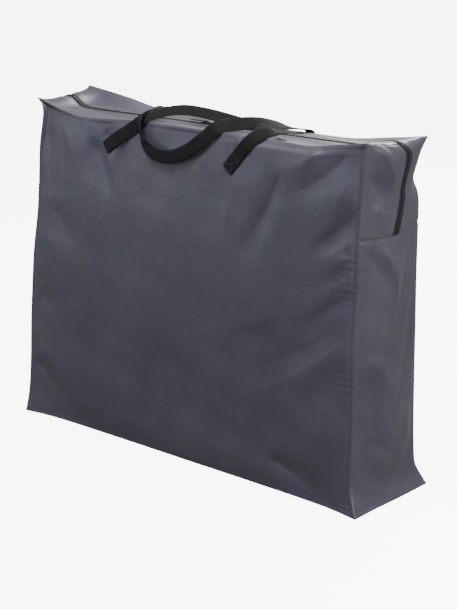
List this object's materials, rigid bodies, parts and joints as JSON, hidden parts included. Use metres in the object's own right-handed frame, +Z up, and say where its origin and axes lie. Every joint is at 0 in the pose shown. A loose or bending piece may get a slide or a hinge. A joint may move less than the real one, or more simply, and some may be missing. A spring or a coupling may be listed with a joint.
{
  "type": "playpen in carry bag",
  "caption": "Folded playpen packed in its free-standing zipped carry bag, with two webbing handles and an opening top.",
  "frame": {"origin": "middle of the flat bottom that the bag stands on", "axes": "+X along the bag's width, -Y towards the front panel, +Z up"},
  "size_m": [0.8808, 0.2084, 0.72],
  "materials": {
    "bag_cloth": "coated nylon with a satin sheen",
    "zip_tape": "woven tape",
    "zip_coil": "nylon coil",
    "zip_slider": "black lacquer",
    "pull_tab": "moulded, satin",
    "webbing": "flat woven webbing",
    "frame_tube": "silver-grey powder coat",
    "rail_tube": "silver-grey powder coat",
    "black_plastic": "moulded, fine texture",
    "hinge_pin": "zinc plated",
    "foot_rubber": "moulded rubber",
    "wall_mesh": "knitted mesh with a woven border",
    "floor_board": "hardboard",
    "hinge_webbing": "flat woven webbing",
    "mat_cover": "quilted polyester"
  },
  "bodies": {
    "bag": {"front_panel": "bag_cloth", "back_panel": "bag_cloth", "bottom_gusset": "bag_cloth", "left_side_gusset": "bag_cloth", "right_side_gusset": "bag_cloth", "left_gusset_front": "bag_cloth", "left_gusset_back": "bag_cloth", "right_gusset_front": "bag_cloth", "right_gusset_back": "bag_cloth", "left_zip_tape": "zip_tape", "right_zip_tape": "zip_tape", "left_zip_chain": "zip_coil", "right_zip_chain": "zip_coil", "front_handle_ends": "webbing", "back_handle_ends": "webbing", "front_end_frame": "frame_tube", "back_end_frame": "frame_tube", "top_rail_left_front": "rail_tube", "top_rail_left_back": "rail_tube", "top_rail_right_front": "rail_tube", "top_rail_right_back": "rail_tube", "bottom_rail_left_front": "rail_tube", "bottom_rail_left_back": "rail_tube", "bottom_rail_right_front": "rail_tube", "bottom_rail_right_back": "rail_tube", "rail_knuckles": "black_plastic", "rail_knuckle_pins": "hinge_pin", "corner_brackets": "black_plastic", "foot_pads": "foot_rubber", "front_wall": "wall_mesh", "back_wall": "wall_mesh", "left_wall_folded": "wall_mesh", "right_wall_folded": "wall_mesh", "floor_board_front": "floor_board", "floor_board_back": "floor_board", "floor_hinge_strip": "hinge_webbing", "mattress_front": "mat_cover", "mattress_back": "mat_cover"},
    "front_lip": {"front_lip": "bag_cloth", "front_lip_tape": "zip_tape", "front_lip_teeth": "zip_coil"},
    "back_lip": {"back_lip": "bag_cloth", "back_lip_tape": "zip_tape", "back_lip_teeth": "zip_coil"},
    "slider_left": {"zip_slider_left": "zip_slider"},
    "slider_right": {"zip_slider_right": "zip_slider"},
    "tab_left": {"pull_tab_left": "pull_tab"},
    "tab_right": {"pull_tab_right": "pull_tab"},
    "front_handle": {"front_handle": "webbing"},
    "back_handle": {"back_handle": "webbing"}
  },
  "joints": [
    {"name": "back_lip_open", "type": "hinge", "parent": "bag", "child": "back_lip", "pos_m": [0, 0.1, 0.692], "axis": [-1, 0, 0], "range_deg": [0, 80]},
    {"name": "front_lip_open", "type": "hinge", "parent": "bag", "child": "front_lip", "pos_m": [0, -0.1, 0.692], "axis": [1, 0, 0], "range_deg": [0, 80]},
    {"name": "slider_left_travel", "type": "slide", "parent": "bag", "child": "slider_left", "axis": [-1, 0, 0], "range_m": [0, 0.311]},
    {"name": "slider_right_travel", "type": "slide", "parent": "bag", "child": "slider_right", "axis": [1, 0, 0], "range_m": [0, 0.311]},
    {"name": "tab_left_lift", "type": "hinge", "parent": "slider_left", "child": "tab_left", "pos_m": [-0.012, 0, 0.6961], "axis": [0, 1, 0], "range_deg": [0, 95]},
    {"name": "tab_right_lift", "type": "hinge", "parent": "slider_right", "child": "tab_right", "pos_m": [0.012, 0, 0.6961], "axis": [0, -1, 0], "range_deg": [0, 95]},
    {"name": "back_handle_swing", "type": "hinge", "parent": "back_lip", "child": "back_handle", "pos_m": [0, 0.1, 0.692], "axis": [-1, 0, 0], "range_deg": [0, 90]},
    {"name": "front_handle_swing", "type": "hinge", "parent": "front_lip", "child": "front_handle", "pos_m": [0, -0.1, 0.692], "axis": [1, 0, 0], "range_deg": [0, 90]}
  ],
  "couplings": [
    {"joint": "front_lip_open", "follows": "back_lip_open", "ratio": 1},
    {"joint": "slider_left_travel", "follows": "back_lip_open", "m_per_rad": 0.222},
    {"joint": "slider_right_travel", "follows": "back_lip_open", "m_per_rad": 0.222},
    {"joint": "front_handle_swing", "follows": "back_handle_swing", "ratio": 1}
  ]
}
